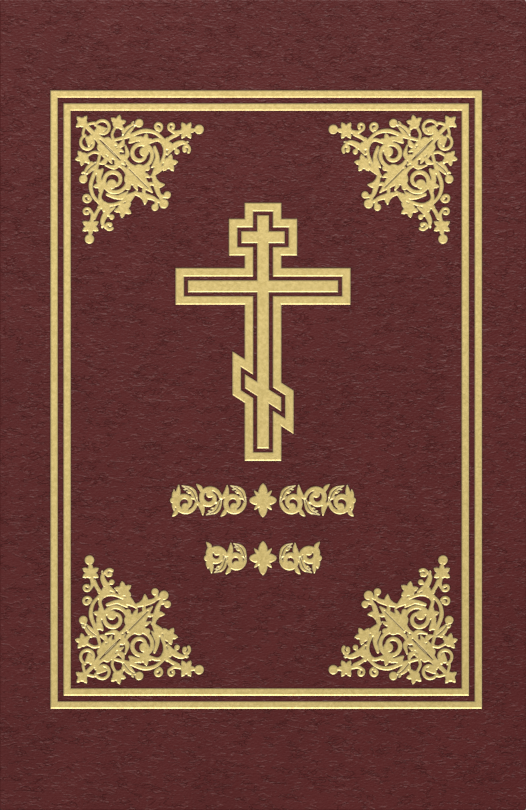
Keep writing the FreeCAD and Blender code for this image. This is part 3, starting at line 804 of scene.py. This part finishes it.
def edge_rings(face_z, outward):
    """The cover's edge as rings of points; outward is 1 for the front cover and -1 for the back."""
    rings = []
    for inset, depth in cover_profile():
        z = face_z - outward * depth
        rings.append([(COVER_MIDDLE.x + x * MM, y * MM, z) for x, y in cover_ring(inset)])
    return rings


def store_values(piece, name, values):
    """A value for each vertex, for the materials."""
    attribute = piece.data.attributes.new(name, "FLOAT", "POINT")
    attribute.data.foreach_set("value", values)


def front_cover(designs, leather, gold):
    """Front cover leather with every impression pressed into it, and the foil lying in them."""
    edge, lip, rim = [], [], []
    for loops_at in designs.values():
        edge += loops_at(0)
        lip += loops_at(LIP)
        rim += loops_at(PRESSED_RIM)
    face = [cover_ring(EDGE_ROLL)]
    # The third value of each group is how far the leather round the tooling is darkened: part the tool's
    # own darkening, part painted shade.
    groups = [(face, 0.0, 0.0), (edge, -LIP_DROP, 1.0), (lip, 0.0, 0.8), (rim, 0.0, 0.0)]
    vertices, pressed, triangles, counts = triangulated(groups)
    faces = [t for t, count in zip(triangles, counts) if count[0] and count[1] % 2 == 0]
    rings = edge_rings(COVER_HIGH.z, 1)
    first = len(vertices)
    vertices += [vertex for ring in rings for vertex in ring]
    pressed += [0.0] * (len(vertices) - first)
    faces += [face[::-1] for face in lathe_rings(rings, first)]
    piece = new_piece("front_cover_skin", vertices, faces, leather)
    store_values(piece, "pressed", pressed)
    below_lips = COVER_HIGH.z - 1.2 * LIP_DROP
    smooth_only(piece, lambda centre: centre.z < below_lips)
    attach(piece, "front_cover")
    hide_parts("front_cover_leather")
    for node, loops_at in designs.items():
        foil(node, loops_at, gold)


def foil(node, loops_at, gold):
    """One foil: a floor at the bottom of the impression and walls that rise to the leather."""
    # The third value of each group is the share of painted highlight on the foil: full where its walls meet
    # the leather, none on the floor.
    groups = [(loops_at(0), -LIP_DROP, 1.0), (loops_at(-WALL), -IMPRESSION, 0.0)]
    vertices, rim, triangles, counts = triangulated(groups)
    faces = [t for t, count in zip(triangles, counts) if count[0] % 2 == 1]
    piece = new_piece(f"{node}_leafing", vertices, faces, gold, smooth=False)
    store_values(piece, "rim", rim)
    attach(piece, "front_cover")
    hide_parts(node)


def back_cover(leather):
    """Back cover leather, plain."""
    rings = edge_rings(BACK_FACE, -1)
    vertices = [vertex for ring in rings for vertex in ring]
    middle = len(vertices)
    vertices.append((COVER_MIDDLE.x, 0, BACK_FACE))
    count = len(rings[0])
    faces = lathe_rings(rings)
    faces += [(i, middle, (i + 1) % count) for i in range(count)]
    piece = new_piece("back_cover_skin", vertices, faces, leather)
    smooth_only(piece, lambda centre: abs(centre.z - BACK_FACE) > TINY)
    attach(piece, "back_cover")
    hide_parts("back_cover_leather")


# ---- spine and joints ----

def strip(name, outer, inner, half_length, material):
    """A strip of leather along the book, with rounded ends; its section runs out along the outer points and
    back along the inner ones."""
    rounding = 0.35 * MM
    plain = half_length - 1 * MM
    outer, inner = np.array(outer), np.array(inner)
    middle = (outer + inner) / 2
    turns = np.radians(np.linspace(0, 80, 6))
    ends = [(half_length - rounding + rounding * math.sin(turn), math.cos(turn)) for turn in turns]
    stations = [(-y, share) for y, share in ends[::-1]]
    stations += [(y, 1.0) for y in np.linspace(-plain, plain, 24)]
    rings = []
    for y, share in stations + ends:
        section = np.vstack([middle + (outer - middle) * share, (middle + (inner - middle) * share)[::-1]])
        rings.append([(x, y, z) for x, z in section])
    return tube(name, rings, material)


def tube(name, rings, material):
    """A closed piece through rings of points."""
    vertices = [vertex for ring in rings for vertex in ring]
    count = len(rings[0])
    faces = lathe_rings(rings)
    faces.append(tuple(range(count)))
    faces.append(tuple(range(len(vertices) - 1, len(vertices) - 1 - count, -1)))
    piece = new_piece(name, vertices, faces, material)
    sharpen(piece)
    return piece


def spine_shell(leather):
    """The spine's leather: flat outside with pressed bands, and turned in over the card at both ends."""
    card_low, card_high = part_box("spine_inlay")
    outside = SPINE_LOW.x
    inside = card_high.x + 0.15 * MM
    turn_in = SPINE_HALF - TURN_IN
    rounding = 0.75 * MM
    turns = [(1 - math.cos(turn), 1 - math.sin(turn)) for turn in np.radians(np.linspace(0, 90, 7))]
    outline = []
    for place in BAND_PLACES:
        for offset, depth in ((-0.6, 0), (-0.5, 1), (0.5, 1), (0.6, 0)):
            outline.append((outside + depth * IMPRESSION, place + offset * BAND_WIDTH))
    end = [(outside + rounding * away, SPINE_HALF - rounding * short) for away, short in turns]
    end += [(inside - rounding * short, SPINE_HALF - rounding * away) for away, short in turns]
    end += [(inside, turn_in), (card_high.x, turn_in)]
    end += [(card_high.x, card_high.y), (card_low.x, card_high.y)]
    outline += end + [(x, -y) for x, y in end[::-1]]
    rings = [[(x, y, z) for x, y in outline] for z in np.linspace(BACK_HINGE.z, FRONT_HINGE.z, 5)]
    piece = tube("spine_skin", rings, leather)
    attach(piece, "spine")
    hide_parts("spine_leather")


def arc_points(centre, radius, start, end, steps):
    """Points of an arc in the X-Z plane; angles in degrees from +X towards +Z."""
    angles = np.radians(np.linspace(start, end, steps + 1))
    return [(centre.x + radius * math.cos(a), centre.z + radius * math.sin(a)) for a in angles]


def spine_and_joints(leather, gold):
    """The spine's leather, its two rounded shoulders and the two joints in the French grooves."""
    steps = 14
    spine_shell(leather)
    spine_bands(gold)
    for side, hinge, way in (("front", FRONT_HINGE, 1), ("back", BACK_HINGE, -1)):
        outer = arc_points(hinge, SPINE_DEPTH, 180, 180 - 90 * way, steps)
        inner = arc_points(hinge, SPINE_DEPTH - LEATHER, 180, 180 - 90 * way, steps)
        shoulder = strip(f"{side}_shoulder_skin", outer, inner, SPINE_HALF, leather)
        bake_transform(shoulder)
        joint_strip(side, hinge, way, leather)


def joint_strip(side, hinge, way, leather):
    """The joint's leather, from the shoulder down into the groove and up to the board."""
    dip, board_drop = 2.1 * MM, 0.9 * MM
    under_board = 0.5 * MM
    clear = 0.02 * MM
    board_share = 0.8
    width = COVER_LOW.x - hinge.x
    outer, inner = [], []
    for t in np.linspace(0, 1, 33):
        x = hinge.x + t * (width + under_board)
        groove = dip * math.sin(math.pi * min(t * 1.02, 1)) ** 0.8
        fall = max(groove, board_drop * (t - board_share) / (1 - board_share))
        outer.append((x, hinge.z + way * (SPINE_DEPTH - fall)))
        inner.append((x, hinge.z + way * (SPINE_DEPTH - fall - LEATHER)))
    piece = strip(f"{side}_joint_skin", outer, inner, SPINE_HALF - clear, leather)
    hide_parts(f"{side}_joint_leather")
    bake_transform(piece)


def spine_bands(gold):
    """Gold lines pressed across the spine."""
    columns = 9
    x = SPINE_LOW.x + IMPRESSION - 0.02 * MM
    vertices, faces = [], []
    for place in BAND_PLACES:
        first = len(vertices)
        for y in (place - BAND_WIDTH / 2, place + BAND_WIDTH / 2):
            vertices += [(x, y, z) for z in np.linspace(BACK_HINGE.z, FRONT_HINGE.z, columns)]
        for i in range(first, first + columns - 1):
            faces.append((i, i + columns, i + columns + 1, i + 1))
    piece = new_piece("spine_band_leafing", vertices, faces, gold, smooth=False)
    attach(piece, "spine")
    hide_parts("spine_band_foil")


# ---- page block ----

def slab(name, low, high, edge_paper, page_paper, bend, jitter=0.0):
    """A sheet or a folded section: a closed slab with most of its columns where it bends."""
    width = high.x - low.x - jitter
    bend = min(bend, width)
    xs = np.linspace(0, bend, BENT_COLUMNS)
    if bend < width:
        xs = np.concatenate((xs, np.linspace(bend, width, FLAT_COLUMNS + 1)[1:]))
    columns = len(xs)
    half = min(-low.y, high.y) - jitter / 2
    vertices = []
    for z in (low.z, high.z):
        for y in np.linspace(-half, half, SHEET_ROWS):
            vertices += [(low.x + x, y, z) for x in xs]
    layer = columns * SHEET_ROWS
    faces = []
    for row in range(SHEET_ROWS - 1):
        for a in range(row * columns, row * columns + columns - 1):
            b = a + columns
            faces.append((a, b, b + 1, a + 1))
            faces.append((layer + a, layer + a + 1, layer + b + 1, layer + b))
    pages = len(faces)
    # once round the rim: one end, the fore edge, the other end and the fold
    rim = list(range(columns))
    rim += range(2 * columns - 1, layer, columns)
    rim += range(layer - 2, layer - columns - 1, -1)
    rim += range(layer - 2 * columns, 0, -columns)
    for a, b in zip(rim, rim[1:] + rim[:1]):
        faces.append((a, b, layer + b, layer + a))
    piece = new_piece(name, vertices, faces, edge_paper)
    piece.data.materials.append(page_paper)
    piece.data.polygons.foreach_set("material_index", [1] * pages + [0] * (len(faces) - pages))
    sharpen(piece)
    return piece


def page_block(edge_paper, page_paper):
    """The sections of both halves, with their columns crowded near the spine, where each would bend when
    the book opens.
    """
    ragged = 0.22
    clear = Vector((0, 0, 0.012 * MM))
    shake = random.Random(7)
    for side, hinge in (("back", BACK_HINGE), ("front", FRONT_HINGE)):
        for number in range(1, SECTIONS + 1):
            node = f"{side}_section_{number:02d}"
            low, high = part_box(node)
            jitter = shake.uniform(0, ragged) * MM
            far = max(abs(low.z - hinge.z), abs(high.z - hinge.z))
            bend = 0.2 * MM + 1.3 * far
            piece = slab(f"{node}_pages", low + clear, high - clear, edge_paper, page_paper, bend, jitter)
            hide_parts(node)
            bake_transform(piece)


def loose_leaves(paper, endpaper):
    """The four middle leaves and the two flyleaves."""
    clear = Vector((0, 0, 0.01 * MM))
    for number in range(1, 5):
        node = f"turning_leaf_{number}"
        low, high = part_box(node)
        piece = slab(f"{node}_sheet", low, high, paper, paper, LEAF_BEND)
        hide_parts(node)
        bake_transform(piece)
    for side in ("front", "back"):
        node = f"{side}_flyleaf"
        low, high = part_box(node)
        piece = slab(f"{node}_sheet", low + clear, high - clear, endpaper, endpaper, FLYLEAF_BEND)
        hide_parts(node)
        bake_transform(piece)


def joint_papers(endpaper):
    """The endpaper that crosses each joint, from the pastedown to the block."""
    for side in ("front", "back"):
        low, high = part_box(f"{side}_pastedown")
        tip_low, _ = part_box(f"{side}_flyleaf_tip")
        start = Vector((tip_low.x + 0.2 * MM, low.y, low.z))
        end = Vector((low.x, high.y, high.z))
        piece = slab(f"{side}_joint_paper", start, end, endpaper, endpaper, end.x - start.x)
        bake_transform(piece)


def band_rings(low, high, x, y, radius):
    """Rings along a headband's roll, which swells at each turn of thread and closes at both ends."""
    around = 14
    count = 110
    threads = 25
    rings = []
    for i in range(count + 1):
        z = low + (high - low) * i / count
        swell = radius * (0.93 + 0.07 * abs(math.sin(math.pi * threads * i / count)))
        end = min(i, count - i, 4) / 4
        swell *= math.sqrt(max(1 - (1 - end) ** 2, 0.05))
        angles = [2 * math.pi * k / around for k in range(around)]
        rings.append([(x + swell * math.cos(a), y + swell * math.sin(a), z) for a in angles])
    return rings


def headbands(material):
    """Striped headbands with a raised turn for each thread, and a tongue on the spine."""
    radius = 0.7 * MM
    tongue_thick = 0.3 * MM
    box_faces = ((0, 1, 3, 2), (4, 6, 7, 5), (0, 4, 5, 1), (2, 3, 7, 6), (0, 2, 6, 4), (1, 5, 7, 3))
    for node in ("head_band", "tail_band"):
        low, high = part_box(node)
        sign = 1 if high.y > 0 else -1
        near, far = sorted((abs(low.y), abs(high.y)))
        y = sign * (far - radius)
        rings = band_rings(low.z, high.z, low.x + radius, y, radius)
        vertices = [vertex for ring in rings for vertex in ring]
        around = len(rings[0])
        tongue = len(vertices)
        faces = lathe_rings(rings)
        faces.append(tuple(range(around - 1, -1, -1)))
        faces.append(tuple(range(tongue - around, tongue)))
        for x in (low.x, low.x + tongue_thick):
            for end in (sign * near, y):
                vertices += [(x, end, low.z), (x, end, high.z)]
        faces += [tuple(tongue + i for i in face) for face in box_faces]
        piece = new_piece(f"{node}_roll", vertices, faces, material)
        sharpen(piece)
        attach(piece, "spine")
        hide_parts(node)


# ---- materials of the CAD nodes, stage, light and camera ----

def dress_nodes():
    """Materials for the CAD nodes that stay. A node takes the first one whose word is in its name."""
    kraft = paper_material("kraft lining", (0.45, 0.33, 0.2), "object")
    pasted = paper_material("pasted endpaper", ENDPAPER_CREAM, "object")
    finishes = (
        ("infill", kraft), ("lining", kraft), ("pastedown", pasted), ("flyleaf", pasted),
        ("_board", board_material("millboard", (0.33, 0.27, 0.20))),
        ("spine_inlay", board_material("spine card", (0.42, 0.34, 0.24))),
        ("mull", cloth_material("mull", (0.72, 0.68, 0.58), 0.9)),
        ("thread", cloth_material("linen thread", (0.75, 0.7, 0.6), 3.0)),
    )
    for name, node in frame["nodes"].items():
        material = next((material for word, material in finishes if word in name), None)
        if material:
            node.data.materials.clear()
            node.data.materials.append(material)


def stage():
    """A plain pale floor, just under the book."""
    bpy.ops.mesh.primitive_plane_add(size=3, location=(0, 0, -0.2 * MM))
    floor = bpy.context.object
    floor.name = "floor"
    floor.data.materials.append(Nodes("pale floor", "object").finish((0.5, 0.485, 0.46), 0.9))


def area_light(name, place, size, power, colour=(1, 1, 1)):
    """A soft light that faces the middle of the cover."""
    data = bpy.data.lights.new(name, "AREA")
    data.shape = "RECTANGLE"
    data.size, data.size_y = size
    data.energy = power
    data.color = colour
    light = bpy.data.objects.new(name, data)
    light.location = place
    light.rotation_euler = (COVER_MIDDLE - Vector(place)).to_track_quat("-Z", "Y").to_euler()
    bpy.context.scene.collection.objects.link(light)


def lights():
    """Soft light from the head of the book, and a pale room around it."""
    warm = (1.0, 0.98, 0.95)
    area_light("key", (0.08, 0.92, 0.98), (0.7, 0.42), 25.5, warm)
    area_light("fill", (-0.5, -0.3, 0.9), (0.9, 0.9), 3.0)
    world = bpy.data.worlds.new("room")
    world.use_nodes = True
    background = world.node_tree.nodes["Background"]
    background.inputs["Color"].default_value = (*warm, 1)
    background.inputs["Strength"].default_value = 0.45
    bpy.context.scene.world = world
    bpy.context.scene.view_settings.view_transform = "Standard"


def camera():
    """Straight above the front cover, framed on its face as closely as the photograph is."""
    distance = 1.3
    seen = 183.6 * MM
    data = bpy.data.cameras.new("camera")
    data.sensor_fit = "VERTICAL"
    data.sensor_height = 24
    data.lens = data.sensor_height * distance / seen
    data.clip_start = 0.01
    piece = bpy.data.objects.new("camera", data)
    piece.location = COVER_MIDDLE + Vector((0, 0, distance))
    bpy.context.scene.collection.objects.link(piece)
    bpy.context.scene.camera = piece


camera()
leather = leather_material("burgundy leather")
gold = gold_material("gold foil")
paper = paper_material("book paper", CREAM, edges=True)
sheet_paper = paper_material("leaf paper", CREAM)
endpaper = paper_material("endpaper", ENDPAPER_CREAM)
front_cover(tooled_designs(), leather, gold)
back_cover(leather)
spine_and_joints(leather, gold)
page_block(paper, sheet_paper)
loose_leaves(sheet_paper, endpaper)
joint_papers(endpaper)
headbands(striped_material("headband"))
dress_nodes()
stage()
lights()
